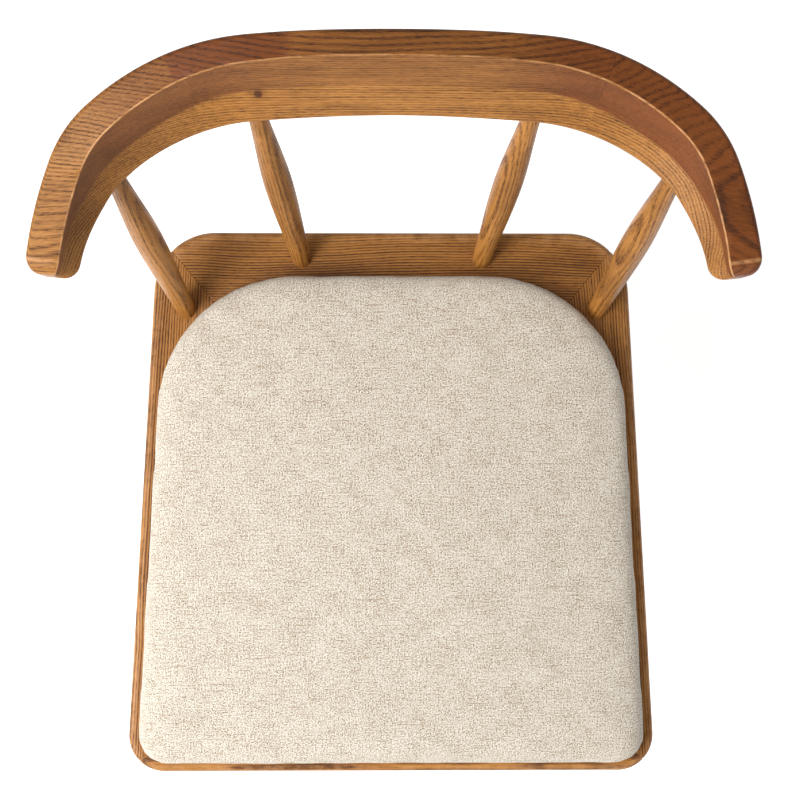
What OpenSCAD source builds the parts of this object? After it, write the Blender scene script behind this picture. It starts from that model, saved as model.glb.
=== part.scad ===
// Wooden armchair: a mitred seat frame on four turned legs, an upholstered drop-in pad, and
// four turned spindles that carry a bent top rail in three lengths. The sitter faces -Y, and
// left and right are the sitter's, so left is +X. The origin is on the floor at the middle
// of the overall width and depth.

/* [Overall] */
// Depth from the front edge of the seat to the back of the top rail
overall_d = 598; // [592:1:620]
// Height of the seat frame's top face
seat_h = 430; // [410:1:450]
// Height of the flat underside of the top rail
rail_bottom_h = 675; // [660:1:690]

/* [Seat frame] */
// Depth of the seat frame
seat_d = 498; // [491:1:505]
// Width across the front corners before rounding
seat_front_w = 486; // [478:1:494]
// Width across the back corners before rounding
seat_back_w = 437; // [432:1:442]
// Thickness of the four rails
frame_t = 36; // [32:1:40]
// Width of the front rail and the side rails
rail_w = 62; // [60:1:66]
// Width of the back rail
back_rail_w = 72; // [70:1:78]
// Corner radius at the front
front_corner_r = 33; // [20:1:36]
// Corner radius at the back
back_corner_r = 57; // [40:1:58]
// Depth of the rebate that holds the pad
rebate_depth = 10; // [8:0.5:12]

/* [Seat pad] */
// Wood left showing beside the pad
pad_side_gap = 8; // [6:0.5:9]
// Wood left showing in front of the pad
pad_front_gap = 7; // [6:0.5:12]
// Wood left showing behind the pad
pad_back_gap = 39; // [36:0.5:41]
// Corner radius of the pad at the front
pad_front_r = 28; // [24:1:40]
// Corner radius of the pad at the back
pad_back_r = 130; // [120:1:138]
// Height of the pad's rounded edge above the seat frame
pad_edge_h = 25; // [22:1:30]
// Further rise from the pad's edge to its middle
pad_crown = 4.5; // [2:0.5:8]
// Thickness of the plywood board
board_t = 9; // [6:1:12]
// Thickness of the woven cover
cover_t = 1.2; // [0.8:0.1:2]

/* [Legs] */
// Diameter of a leg where it meets the frame
leg_top_d = 31; // [29:1:36]
// Greatest diameter of a leg
leg_belly_d = 37; // [34:1:42]
// Diameter of a leg at the floor
leg_foot_d = 21; // [18:1:26]
// Diameter of a leg's tenon
leg_tenon_d = 24; // [20:1:25]

/* [Spindles] */
// Diameter of a spindle at the seat
spindle_foot_d = 18; // [16:0.5:20]
// Greatest diameter of a spindle
spindle_belly_d = 24.5; // [22:0.5:27]
// Diameter of a spindle at the top rail
spindle_neck_d = 15; // [13:0.5:17]
// Backward lean of the spindles, per unit of height
spindle_lean = 0.347; // [0.33:0.001:0.36]
// Outward splay of the inner spindles, per unit of height
inner_splay = 0.102; // [0.09:0.001:0.11]
// Outward splay of the outer spindles, per unit of height
outer_splay = 0.122; // [0.11:0.001:0.13]

/* [Top rail] */
// Height of the top rail at its middle
rail_h = 75; // [68:1:80]
// How far the top edge falls from the middle to the arm ends
rail_drop = 46; // [35:1:48]
// Width of the top edge at the middle
rail_top_w = 21.5; // [19:0.5:23]
// Width of the top edge on the arms
arm_top_w = 27.5; // [25.5:0.5:28]
// Length of each half of the rail along its outer edge
rail_half_len = 378; // [368:1:383]
// Distance along the outer edge from the middle to each glued joint
rail_joint_s = 165; // [155:1:175]

/* [Hidden] */

$fn = 64;
left = 1;
right = -1;

// Clearance round every tenon, dowel, spline and screw
fit = 0.1;

front_y = -overall_d / 2;
back_y = front_y + seat_d;
frame_bottom = seat_h - frame_t;
shelf_z = seat_h - rebate_depth;
corner_steps = 8;

// Pad, from the rebate's shelf upwards
dust_t = 0.6;
dust_inset = 11;
cover_bottom = shelf_z + dust_t + fit;
board_bottom = cover_bottom + cover_t + fit;
board_top = board_bottom + board_t;
board_inset = 6;
hem_inset = 36;
rebate_gap = 1;
edge_r = 16;
edge_rise = 14;
edge_z = seat_h + pad_edge_h - edge_rise;
under_angle = 45;
crown_rings = 5;

// Corner blocks and screws
block_leg = 55;
block_nose = 6;
block_top = shelf_z - 2;
block_bottom = frame_bottom + 2;
screw_d = 4;
screw_head_d = 8;
screw_head_t = 2.5;
block_screw_len = 26;
block_screw_at = 20;
block_screw_head = 14;
// Clear of the way in for the block screws, and inside the cover's hem
seat_screw_at = [12, 36];
seat_screw_len = 30;

// Splines across the mitres
spline_t = 4;
spline_l = 34;
spline_w = 28;

// Staples that hold the cover under the board
staple_w = 10;
staple_wire = 0.6;
staple_leg = 6;
staple_inset = 26;
staple_count = 30;

// Legs: where their axes meet the frame's underside and the floor
front_leg_top = [207, front_y + 76];
front_leg_foot = [232, front_y + 40];
rear_leg_top = [187, back_y - 115];
rear_leg_foot = [213, back_y - 20];
leg_tenon_depth = 21;
glide_t = 3;
glide_inset = 1.5;

// Spindles: where their axes meet the frame's top face, and their splay
inner_spindle = [84, back_y - 24, inner_splay];
outer_spindle = [191, back_y - 72, outer_splay];
spindle_foot_tenon_d = 12;
spindle_foot_tenon = 20;
spindle_top_tenon_d = 10;
spindle_top_tenon = 21;

// Top rail: the outer edge in plan, from the middle outwards, as [radius, degrees] arcs
rail_arcs = [[1800, 3.5], [210, 36], [99, 29], [315, 22]];
// The rounded outer arris stops this far short of the sharp corner it replaces
arris_loss = 1.3;
rail_middle = [0, overall_d / 2 + arris_loss];
end_r = 14;
end_shrink = 0.6;
end_angle = 84;
arm_stations = 26;
end_stations = 7;
section_steps = 3;
dowel_d = 8;
dowel_len = 30;

wood = "#8f6238";
dark_wood = "#7a4f2c";
ply = "#c9a877";
linen = "#cfc5b4";
steel = "#b8b8b8";

// ---- Curves and outlines ----

function unit(v) = v / norm(v);
function smooth(t) = let (u = min(1, max(0, t))) u * u * (3 - 2 * u);
function reverse(list) = [for (i = [len(list) - 1:-1:0]) list[i]];
function lift(ring, z) = [for (p = ring) [p.x, p.y, z]];
function middle_of(ring) = [for (p = ring) 1] * ring / len(ring);

// Arc that rounds corner q between its neighbours p and r
function fillet(p, q, r, radius, steps) =
    let (a = unit(p - q))
    let (b = unit(r - q))
    let (half = acos(a * b) / 2)
    let (centre = q + unit(a + b) * radius / sin(half))
    let (start = q + a * radius / tan(half) - centre)
    let (turn = sign(cross(q - p, r - q)) * (180 - 2 * half))
    [for (i = [0:steps])
        let (k = turn * i / steps)
        centre + [start.x * cos(k) - start.y * sin(k), start.x * sin(k) + start.y * cos(k)]];

function rounded(corners, radii, steps) =
    let (n = len(corners))
    [for (i = [0:n - 1])
        each fillet(corners[(i + n - 1) % n], corners[i], corners[(i + 1) % n], radii[i], steps)];

// The same outline with extra points along its long straight sides
function densify(ring, longest, pieces) =
    let (n = len(ring))
    [for (i = [0:n - 1])
        let (a = ring[i])
        let (b = ring[(i + 1) % n])
        let (count = norm(b - a) > longest ? pieces : 1)
        for (k = [0:count - 1]) a + (b - a) * k / count];

// Half width of the seat frame at a depth, and its corners set in from the edges
function half_width(y) =
    (seat_front_w + (seat_back_w - seat_front_w) * (y - front_y) / seat_d) / 2;
function frame_corners(side_in, front_in, back_in) =
    let (f = front_y + front_in)
    let (b = back_y - back_in)
    [[-half_width(f) + side_in, f], [half_width(f) - side_in, f],
     [half_width(b) - side_in, b], [-half_width(b) + side_in, b]];

// Outline of the pad, set in by a distance
function pad_ring(inset) =
    rounded(frame_corners(pad_side_gap + inset, pad_front_gap + inset, pad_back_gap + inset),
            [for (r = [pad_front_r, pad_front_r, pad_back_r, pad_back_r]) max(2, r - inset)],
            corner_steps);

// ---- Solids by rings ----

// Skin through rings that all have the same number of points, each end closed by a fan of
// triangles round its own middle
module loft(rings) {
    n = len(rings[0]);
    last = len(rings) - 1;
    first_hub = n * (last + 1);
    last_hub = first_hub + 1;
    polyhedron(
        points = concat([for (ring = rings) each ring], [middle_of(rings[0]), middle_of(rings[last])]),
        faces = concat(
            [for (k = [0:last - 1]) for (i = [0:n - 1])
                let (j = (i + 1) % n)
                each [[k * n + i, (k + 1) * n + i, (k + 1) * n + j],
                      [k * n + i, (k + 1) * n + j, k * n + j]]],
            [for (i = [0:n - 1]) [first_hub, i, (i + 1) % n]],
            [for (i = [0:n - 1]) [last_hub, last * n + (i + 1) % n, last * n + i]]));
}

// Places children with their Z axis running from one point towards another, and their X axis
// level
module along(from, to) {
    d = to - from;
    translate(from)
        rotate([0, acos(d.z / norm(d)), atan2(d.y, d.x)])
            rotate([0, 0, 90])
                children();
}

// ---- Seat frame ----

outer_corners = frame_corners(0, 0, 0);
inner_corners = frame_corners(rail_w, rail_w, back_rail_w);
frame_outline = rounded(outer_corners, [front_corner_r, front_corner_r, back_corner_r, back_corner_r],
                        corner_steps);

// One mitred rail between two neighbouring corners, with the rebate cut into it
module frame_rail(a, b) {
    difference() {
        translate([0, 0, frame_bottom])
            linear_extrude(frame_t)
                intersection() {
                    polygon([outer_corners[a], outer_corners[b], inner_corners[b], inner_corners[a]]);
                    polygon(frame_outline);
                }
        translate([0, 0, shelf_z])
            linear_extrude(rebate_depth + 1)
                polygon(pad_ring(board_inset - rebate_gap));
        splines(fit);
        block_screw_set(fit);
    }
}

// A tongue across each mitre, grown by a clearance
module splines(clearance) {
    for (i = [0:3]) {
        middle = (outer_corners[i] * 0.45 + inner_corners[i] * 0.55);
        d = outer_corners[i] - inner_corners[i];
        translate([middle.x, middle.y, frame_bottom + frame_t / 3])
            rotate([0, 0, atan2(d.y, d.x)])
                cube([spline_l + 2 * clearance, spline_w + 2 * clearance, spline_t + 2 * clearance],
                     center = true);
    }
}

module front_seat_rail() {
    color(wood) frame_rail(0, 1);
}

module back_seat_rail() {
    color(wood) difference() {
        frame_rail(2, 3);
        for (side = [left, right]) spindle_tenons(side, inner_spindle, fit);
    }
}

module side_seat_rail(side) {
    color(wood) difference() {
        frame_rail(side == left ? 1 : 3, side == left ? 2 : 0);
        spindle_tenons(side, outer_spindle, fit);
        leg_tenon(side, front_leg_top, front_leg_foot, fit);
        leg_tenon(side, rear_leg_top, rear_leg_foot, fit);
    }
}

module mitre_splines() {
    color(ply) splines(0);
}

// ---- Corner blocks and their screws ----

// Runs children in the frame of one inner corner: X along the front or back rail,
// Y along the side rail, and Z up from the floor
module at_inner_corner(i) {
    translate([inner_corners[i].x, inner_corners[i].y, 0])
        mirror([i == 1 || i == 2 ? 1 : 0, 0, 0])
            mirror([0, i > 1 ? 1 : 0, 0])
                children();
}

// Sideways shift of the side rail's inner face per unit along the block's Y
function side_slant(i) =
    (i < 2 ? 1 : -1) * (seat_front_w - seat_back_w) / 2 / seat_d;

module corner_block(i) {
    slant = side_slant(i);
    color(ply) at_inner_corner(i)
        difference() {
            translate([0, 0, block_bottom])
                linear_extrude(block_top - block_bottom)
                    polygon([[slant * fit + 2 * fit, fit], [block_leg, fit], [block_leg, block_nose],
                             [block_nose + slant * block_leg, block_leg],
                             [slant * block_leg + 2 * fit, block_leg]]);
            block_screw_pair(slant, fit);
            block_seat_screw(fit);
        }
}

module front_right_corner_block() {
    corner_block(0);
}

module front_left_corner_block() {
    corner_block(1);
}

module rear_left_corner_block() {
    corner_block(2);
}

module rear_right_corner_block() {
    corner_block(3);
}

// Wood screw whose head starts at z = 0 and whose shank runs down -Z. As a cutter it is
// grown by a clearance, with a clear way in for the head.
module wood_screw(length, clearance) {
    cutting = clearance > 0;
    translate([0, 0, -length - clearance])
        cylinder(h = length - screw_head_t + clearance, d = screw_d + 2 * clearance);
    translate([0, 0, -screw_head_t - clearance])
        cylinder(h = screw_head_t + clearance + (cutting ? block_leg : 0),
                 d = screw_head_d + 2 * clearance);
}

// The two screws that hold a block to its rails, in the corner's own frame
module block_screw_pair(slant, clearance) {
    z = (block_top + block_bottom) / 2;
    translate([block_screw_at + 8, block_screw_head, z + 5])
        rotate([-90, 0, 0])
            wood_screw(block_screw_len, clearance);
    translate([block_screw_head, block_screw_at, z - 5])
        rotate([0, 90, 0])
            wood_screw(block_screw_len, clearance);
}

module block_screw_set(clearance) {
    for (i = [0:3]) at_inner_corner(i) block_screw_pair(side_slant(i), clearance);
}

module block_screws() {
    color(steel) block_screw_set(0);
}

// The screw that pulls the pad down, driven upwards through the block
module block_seat_screw(clearance) {
    translate([seat_screw_at.x, seat_screw_at.y, block_bottom + screw_head_t + 1])
        mirror([0, 0, 1])
            translate([0, 0, screw_head_t])
                wood_screw(seat_screw_len, clearance);
}

module seat_screw_set(clearance) {
    for (i = [0:3]) at_inner_corner(i) block_seat_screw(clearance);
}

module seat_screws() {
    color(steel) seat_screw_set(0);
}

// ---- Legs ----

function at_height(top, foot, side, z) =
    let (p = foot + (top - foot) * z / frame_bottom)
    [side * p.x, p.y, z];

// Turned profile of a leg, as [radius, height along the axis]
function leg_profile(length) =
    let (foot = leg_foot_d / 2)
    let (belly = leg_belly_d / 2)
    let (top = leg_top_d / 2)
    let (belly_at = 0.72)
    [for (i = [0:18])
        let (t = i / 18)
        let (r = t < belly_at ? foot + (belly - foot) * sin(90 * t / belly_at)
                              : belly + (top - belly) * smooth((t - belly_at) / (1 - belly_at)))
        [r, t * length]];

module leg_tenon(side, top, foot, clearance) {
    start = at_height(top, foot, side, frame_bottom - 15);
    end = at_height(top, foot, side, frame_bottom + leg_tenon_depth);
    along(start, end)
        cylinder(h = norm(end - start) + clearance, d = leg_tenon_d + 2 * clearance);
}

module leg(side, top, foot) {
    start = at_height(top, foot, side, -leg_foot_d / 4);
    end = at_height(top, foot, side, frame_bottom + leg_top_d / 4);
    length = norm(end - start);
    color(dark_wood) {
        intersection() {
            along(start, end)
                rotate_extrude()
                    polygon(concat([[0, 0]], leg_profile(length), [[0, length]]));
            translate([-overall_d, -overall_d, glide_t])
                cube([2 * overall_d, 2 * overall_d, frame_bottom - glide_t]);
        }
        leg_tenon(side, top, foot, 0);
    }
}

module front_left_leg() {
    leg(left, front_leg_top, front_leg_foot);
}

module front_right_leg() {
    leg(right, front_leg_top, front_leg_foot);
}

module rear_left_leg() {
    leg(left, rear_leg_top, rear_leg_foot);
}

module rear_right_leg() {
    leg(right, rear_leg_top, rear_leg_foot);
}

module leg_glides() {
    color("#4a4a48")
        for (side = [left, right])
            for (foot = [front_leg_foot, rear_leg_foot])
                translate([side * foot.x, foot.y, 0])
                    cylinder(h = glide_t, d = leg_foot_d - 2 * glide_inset);
}

// ---- Spindles ----

function on_spindle(side, at, z) =
    let (rise = z - seat_h)
    [side * (at.x + at.z * rise), at.y + spindle_lean * rise, z];

// Turned profile of a spindle, as [radius, height along the axis]
function spindle_profile(length) =
    let (foot = spindle_foot_d / 2)
    let (belly = spindle_belly_d / 2)
    let (neck = spindle_neck_d / 2)
    let (belly_at = 0.52)
    [for (i = [0:20])
        let (t = i / 20)
        let (r = t < belly_at ? foot + (belly - foot) * smooth(t / belly_at)
                              : belly + (neck - belly) * smooth((t - belly_at) / (1 - belly_at)))
        [r, t * length]];

module spindle_tenons(side, at, clearance) {
    low = on_spindle(side, at, seat_h - spindle_foot_tenon);
    seat = on_spindle(side, at, seat_h + 10);
    neck = on_spindle(side, at, rail_bottom_h - 10);
    high = on_spindle(side, at, rail_bottom_h + spindle_top_tenon);
    along(seat, low)
        cylinder(h = norm(low - seat) + clearance, d = spindle_foot_tenon_d + 2 * clearance);
    along(neck, high)
        cylinder(h = norm(high - neck) + clearance, d = spindle_top_tenon_d + 2 * clearance);
}

module spindle(side, at) {
    start = on_spindle(side, at, seat_h - spindle_foot_d / 4);
    end = on_spindle(side, at, rail_bottom_h + spindle_neck_d / 4);
    length = norm(end - start);
    color(wood) {
        intersection() {
            along(start, end)
                rotate_extrude()
                    polygon(concat([[0, 0]], spindle_profile(length), [[0, length]]));
            translate([-overall_d, -overall_d, seat_h])
                cube([2 * overall_d, 2 * overall_d, rail_bottom_h - seat_h]);
        }
        spindle_tenons(side, at, 0);
    }
}

module inner_left_spindle() {
    spindle(left, inner_spindle);
}

module inner_right_spindle() {
    spindle(right, inner_spindle);
}

module outer_left_spindle() {
    spindle(left, outer_spindle);
}

module outer_right_spindle() {
    spindle(right, outer_spindle);
}

// ---- Top rail ----

function arc_len(arc) = arc[0] * arc[1] * PI / 180;
function arc_step(radius, heading, turn) =
    radius * [sin(heading + turn) - sin(heading), cos(heading + turn) - cos(heading)];

// Point and heading on the rail's outer edge, at a distance from the middle
function edge_at(s, i = 0, start = rail_middle, heading = 0) =
    let (arc = rail_arcs[i])
    let (turn = s / arc[0] * 180 / PI)
    s <= arc_len(arc) || i == len(rail_arcs) - 1
        ? [start + arc_step(arc[0], heading, turn), heading + turn]
        : edge_at(s - arc_len(arc), i + 1, start + arc_step(arc[0], heading, arc[1]),
                  heading + arc[1]);

// Corners of the rail's section as [inset from the outer edge, height]: outer foot, outer
// top, inner top, the soft crease of the back rest, and inner foot
function section_corners(s) =
    let (top = rail_bottom_h + rail_h - rail_drop * smooth((s - 50) / 370))
    let (crease = rail_bottom_h + 35 - 17 * smooth(s / 240))
    [[20 - 11 * smooth((s - 200) / 160), rail_bottom_h],
     [0, top],
     [rail_top_w + (arm_top_w - rail_top_w) * smooth((s - 40) / 230), top],
     [33 + 4.6 * smooth((s - 120) / 110) - 10.8 * smooth((s - 255) / 100), crease],
     [51 + 4.5 * smooth(s / 200) - 15 * smooth((s - 245) / 130), rail_bottom_h]];
section_radii = [3, 4, 1.2, 3, 3];

// The section at a station, scaled about its own middle to close the arm's end
function rail_ring(s, scale = 1) =
    let (edge = edge_at(abs(s)))
    let (inward = [-sin(edge[1]), -cos(edge[1])])
    let (corners = section_corners(abs(s)))
    let (middle = [for (k = [0, 1]) (corners[0][k] + corners[1][k] + corners[2][k] + corners[4][k]) / 4])
    [for (p = rounded(corners, section_radii, section_steps))
        let (q = middle + (p - middle) * scale)
        let (place = edge[0] + inward * q[0])
        [s < 0 ? -place.x : place.x, place.y, q[1]]];

// Distances along the arm, and the rings that close its rounded end
function arm_rings() =
    let (straight_end = rail_half_len - end_r)
    concat(
        [for (i = [0:arm_stations])
            rail_ring(rail_joint_s + (straight_end - rail_joint_s) * i / arm_stations)],
        [for (i = [1:end_stations])
            let (a = end_angle * i / end_stations)
            rail_ring(straight_end + end_r * sin(a), 1 - end_shrink * (1 - cos(a)))]);

module rail_arm() {
    loft(arm_rings());
}

// Two dowels across one joint, grown by a clearance
module joint_dowels(side, clearance) {
    edge = edge_at(rail_joint_s);
    inward = [-sin(edge[1]), -cos(edge[1])];
    for (spot = [[17, rail_bottom_h + 47], [28, rail_bottom_h + 17]]) {
        place = edge[0] + inward * spot[0];
        mirror([side == right ? 1 : 0, 0, 0])
            translate([place.x, place.y, spot[1]])
                rotate([0, 0, -edge[1]])
                    rotate([0, 90, 0])
                        cylinder(h = dowel_len + 2 * clearance, d = dowel_d + 2 * clearance,
                                 center = true);
    }
}

module top_rail_centre() {
    color(dark_wood) difference() {
        loft([for (i = [-15:15]) rail_ring(rail_joint_s * i / 15)]);
        for (side = [left, right]) {
            spindle_tenons(side, inner_spindle, fit);
            joint_dowels(side, fit);
        }
    }
}

module top_rail_left_arm() {
    color(dark_wood) difference() {
        rail_arm();
        spindle_tenons(left, outer_spindle, fit);
        joint_dowels(left, fit);
    }
}

module top_rail_right_arm() {
    color(dark_wood) difference() {
        mirror([1, 0, 0]) rail_arm();
        spindle_tenons(right, outer_spindle, fit);
        joint_dowels(right, fit);
    }
}

module rail_joint_dowels() {
    color(ply)
        for (side = [left, right])
            joint_dowels(side, 0);
}

// ---- Seat pad ----

// Rings of the cover's outside, from the hem under the board to the crown, or of a surface
// a distance inside it
function pad_rings(depth) =
    let (turned_in = [[hem_inset, cover_bottom + depth], [board_inset + depth, cover_bottom + depth],
                      [board_inset + depth, seat_h + 1]])
    let (edge = [for (i = [0:5])
        let (a = -under_angle + (90 + under_angle) * i / 5)
        [edge_r - (edge_r - depth) * cos(a), edge_z + (edge_rise - depth) * sin(a)]])
    let (rim = densify(pad_ring(edge_r), 2 * edge_r, 4))
    concat(
        [for (p = concat(turned_in, edge)) lift(densify(pad_ring(p[0]), 2 * edge_r, 4), p[1])],
        [for (i = [1:crown_rings])
            let (k = 1 - 0.98 * i / crown_rings)
            lift([for (p = rim) [p.x, k * p.y + (1 - k) * (front_y + seat_d * 0.46)]
                  - [(1 - k) * p.x, 0]],
                 edge_z + edge_rise - depth + pad_crown * (1 - k * k))]);

module seat_board() {
    color(ply) difference() {
        translate([0, 0, board_bottom])
            linear_extrude(board_t)
                polygon(pad_ring(board_inset + cover_t + 2 * fit));
        seat_screw_set(fit);
        staple_set(fit);
    }
}

module seat_foam() {
    rings = pad_rings(cover_t + 2 * fit);
    color("#e8e2c8")
        loft(concat([lift(densify(pad_ring(board_inset + cover_t + 2 * fit), 2 * edge_r, 4),
                          board_top + fit)],
                    [for (i = [3:len(rings) - 1]) rings[i]]));
}

module seat_cover() {
    color(linen) difference() {
        loft(concat(reverse(pad_rings(cover_t)), pad_rings(0)));
        staple_set(fit);
    }
}

// Closed path along the middle of the hem, from the middle of the front
function hem_path() =
    let (ring = pad_ring(staple_inset))
    let (first = corner_steps + 1)
    concat([[0, ring[first].y]], [for (i = [first:len(ring) - 1]) ring[i]],
           [for (i = [0:first - 1]) ring[i]]);
function path_steps(path) = [for (i = [0:len(path) - 1]) path[(i + 1) % len(path)] - path[i]];
function path_len(path) = [for (d = path_steps(path)) norm(d)] * [for (p = path) 1];

// Point and direction at a distance along a closed path
function walk(path, s, i = 0) =
    let (d = path_steps(path)[i])
    s <= norm(d) ? [path[i] + unit(d) * s, atan2(d.y, d.x)] : walk(path, s - norm(d), i + 1);

// Staples evenly round the hem, crown down
module staple_set(clearance) {
    path = hem_path();
    pitch = path_len(path) / staple_count;
    for (i = [1:staple_count]) {
        spot = walk(path, (i - 0.5) * pitch);
        translate([spot[0].x, spot[0].y, cover_bottom])
            rotate([0, 0, spot[1]])
                staple(clearance);
    }
}

module staple(clearance) {
    grown = 2 * clearance;
    translate([-staple_w / 2 - clearance, -staple_wire / 2 - clearance, -clearance])
        cube([staple_w + grown, staple_wire + grown, staple_wire + grown]);
    for (side = [-1, 1])
        translate([side * (staple_w - staple_wire) / 2 - staple_wire / 2 - clearance,
                   -staple_wire / 2 - clearance, 0])
            cube([staple_wire + grown, staple_wire + grown, staple_leg + clearance]);
}

module cover_staples() {
    color(steel) staple_set(0);
}

module dust_cover() {
    color("#2b2b2b") difference() {
        translate([0, 0, shelf_z])
            linear_extrude(dust_t)
                polygon(pad_ring(dust_inset));
        seat_screw_set(fit);
    }
}

front_seat_rail();
back_seat_rail();
side_seat_rail(left);  // left_seat_rail
side_seat_rail(right);  // right_seat_rail
mitre_splines();
front_left_corner_block();
front_right_corner_block();
rear_left_corner_block();
rear_right_corner_block();
block_screws();
front_left_leg();
front_right_leg();
rear_left_leg();
rear_right_leg();
leg_glides();
inner_left_spindle();
inner_right_spindle();
outer_left_spindle();
outer_right_spindle();
top_rail_centre();
top_rail_left_arm();
top_rail_right_arm();
rail_joint_dowels();
seat_board();
seat_foam();
seat_cover();
cover_staples();
dust_cover();
seat_screws();
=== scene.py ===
"""Wooden armchair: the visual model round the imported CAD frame.

Lengths are in metres, and MM turns millimetres into metres. The sitter faces -Y and +X is the
sitter's left.
"""
import math

import bpy
from mathutils import Matrix, Vector, noise


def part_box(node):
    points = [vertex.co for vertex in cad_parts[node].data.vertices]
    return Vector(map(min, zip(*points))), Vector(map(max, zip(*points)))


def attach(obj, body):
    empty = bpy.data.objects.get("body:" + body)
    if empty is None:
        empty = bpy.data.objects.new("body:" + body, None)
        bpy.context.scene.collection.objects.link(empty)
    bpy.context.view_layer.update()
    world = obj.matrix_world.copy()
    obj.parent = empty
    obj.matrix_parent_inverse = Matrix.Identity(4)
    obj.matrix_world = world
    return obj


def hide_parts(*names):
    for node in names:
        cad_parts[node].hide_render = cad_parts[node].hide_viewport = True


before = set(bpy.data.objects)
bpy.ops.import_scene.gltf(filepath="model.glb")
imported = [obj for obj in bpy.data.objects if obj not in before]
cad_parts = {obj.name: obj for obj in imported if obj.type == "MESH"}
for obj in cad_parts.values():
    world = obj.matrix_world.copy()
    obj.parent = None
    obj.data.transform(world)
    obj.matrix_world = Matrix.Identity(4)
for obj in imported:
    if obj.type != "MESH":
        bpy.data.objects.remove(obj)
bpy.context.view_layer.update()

MM = 0.001
LEFT, RIGHT = 1, -1

# ---- Levels and edges, from the CAD frame ----

SEAT_LOW, SEAT_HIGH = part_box("front_seat_rail")
FRONT_Y = SEAT_LOW.y
BACK_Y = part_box("back_seat_rail")[1].y
SEAT_TOP = SEAT_HIGH.z
SEAT_BOTTOM = SEAT_LOW.z
SHELF_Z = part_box("dust_cover")[0].z
RAIL_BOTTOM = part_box("top_rail_centre")[0].z
RAIL_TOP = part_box("top_rail_centre")[1].z
RAIL_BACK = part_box("top_rail_centre")[1].y
GLIDE_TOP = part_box("leg_glides")[1].z
COVER_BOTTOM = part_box("seat_cover")[0].z

# ---- Seat frame and pad in plan ----

FRONT_W, BACK_W = 486 * MM, 437 * MM
RAIL_W, BACK_RAIL_W = 62 * MM, 72 * MM
FRAME_R = [33 * MM, 33 * MM, 57 * MM, 57 * MM]
PAD_SIDE, PAD_FRONT, PAD_BACK = 8 * MM, 7 * MM, 39 * MM
PAD_R = [28 * MM, 28 * MM, 130 * MM, 130 * MM]
REBATE_INSET = 5 * MM
BOARD_INSET = 6 * MM
PAD_EDGE_R, PAD_EDGE_RISE = 16 * MM, 14 * MM
PAD_EDGE_Z = SEAT_TOP + 11 * MM
PAD_CROWN = 4.5 * MM
CROWN_MIDDLE = 0.46


def smooth(t):
    t = min(1.0, max(0.0, t))
    return t * t * (3 - 2 * t)


def fillet(p, q, r, radius, steps):
    """Points of the arc that rounds corner q between its neighbours p and r."""
    a, b = (p - q).normalized(), (r - q).normalized()
    half = math.acos(max(-1.0, min(1.0, a.dot(b)))) / 2
    centre = q + (a + b).normalized() * radius / math.sin(half)
    start = q + a * radius / math.tan(half) - centre
    turn = math.copysign(math.pi - 2 * half, (q - p).cross(r - q))
    points = []
    for i in range(steps + 1):
        k = turn * i / steps
        points.append(centre + Vector((start.x * math.cos(k) - start.y * math.sin(k),
                                       start.x * math.sin(k) + start.y * math.cos(k))))
    return points


def rounded(corners, radii, steps, stops=()):
    """A closed outline with its corners rounded, and points at those stops between them."""
    n = len(corners)
    arcs = [fillet(corners[i - 1], corners[i], corners[(i + 1) % n], radii[i], steps)
            for i in range(n)]
    outline = []
    for i, arc in enumerate(arcs):
        outline += arc
        start, end = arc[-1], arcs[(i + 1) % n][0]
        outline += [start.lerp(end, k) for k in stops]
    return outline


def half_width(y):
    return (FRONT_W + (BACK_W - FRONT_W) * (y - FRONT_Y) / (BACK_Y - FRONT_Y)) / 2


def frame_corners(side, front, back):
    f, b = FRONT_Y + front, BACK_Y - back
    return [Vector((-half_width(f) + side, f)), Vector((half_width(f) - side, f)),
            Vector((half_width(b) - side, b)), Vector((-half_width(b) + side, b))]


def pad_ring(inset, steps=12):
    return rounded(frame_corners(PAD_SIDE + inset, PAD_FRONT + inset, PAD_BACK + inset),
                   [max(2 * MM, r - inset) for r in PAD_R], steps, [k / 25 for k in range(1, 25)])


# ---- Meshes ----

def set_attribute(mesh, key, values):
    """Gives each point of the mesh a number or a vector."""
    if isinstance(values[0], (int, float)):
        mesh.attributes.new(key, "FLOAT", "POINT").data.foreach_set("value", values)
    else:
        flat = [c for v in values for c in v]
        mesh.attributes.new(key, "FLOAT_VECTOR", "POINT").data.foreach_set("vector", flat)


def loft_faces(count, n):
    """Quads between rings of n points, and a cap at each end."""
    faces = [list(range(n - 1, -1, -1)), list(range((count - 1) * n, count * n))]
    for k in range(count - 1):
        for i in range(n):
            j = (i + 1) % n
            faces.append([k * n + i, k * n + j, (k + 1) * n + j, (k + 1) * n + i])
    return faces


def outward(verts, faces):
    """The same faces, turned outwards."""
    volume = 0.0
    for face in faces:
        a = verts[face[0]]
        for i in range(1, len(face) - 1):
            volume += a.dot(verts[face[i]].cross(verts[face[i + 1]]))
    return faces if volume > 0 else [f[::-1] for f in faces]


def lofted(name, verts, per_ring, attributes=None, sharp=32):
    """A smooth closed mesh through rings of points, sharp where it turns by more degrees."""
    faces = outward(verts, loft_faces(len(verts) // per_ring, per_ring))
    mesh = bpy.data.meshes.new(name)
    mesh.from_pydata([tuple(v) for v in verts], [], faces)
    for key, values in (attributes or {}).items():
        set_attribute(mesh, key, values)
    mesh.validate()
    mesh.shade_smooth()
    mesh.set_sharp_from_angle(angle=math.radians(sharp))
    obj = bpy.data.objects.new(name, mesh)
    bpy.context.scene.collection.objects.link(obj)
    return obj


def piece(obj, node, material, extra=()):
    """Puts the object in the chair in place of a CAD node."""
    obj.data.materials.clear()
    obj.data.materials.append(material)
    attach(obj, "root")
    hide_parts(node, *extra)


# ---- Material nodes ----

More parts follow.
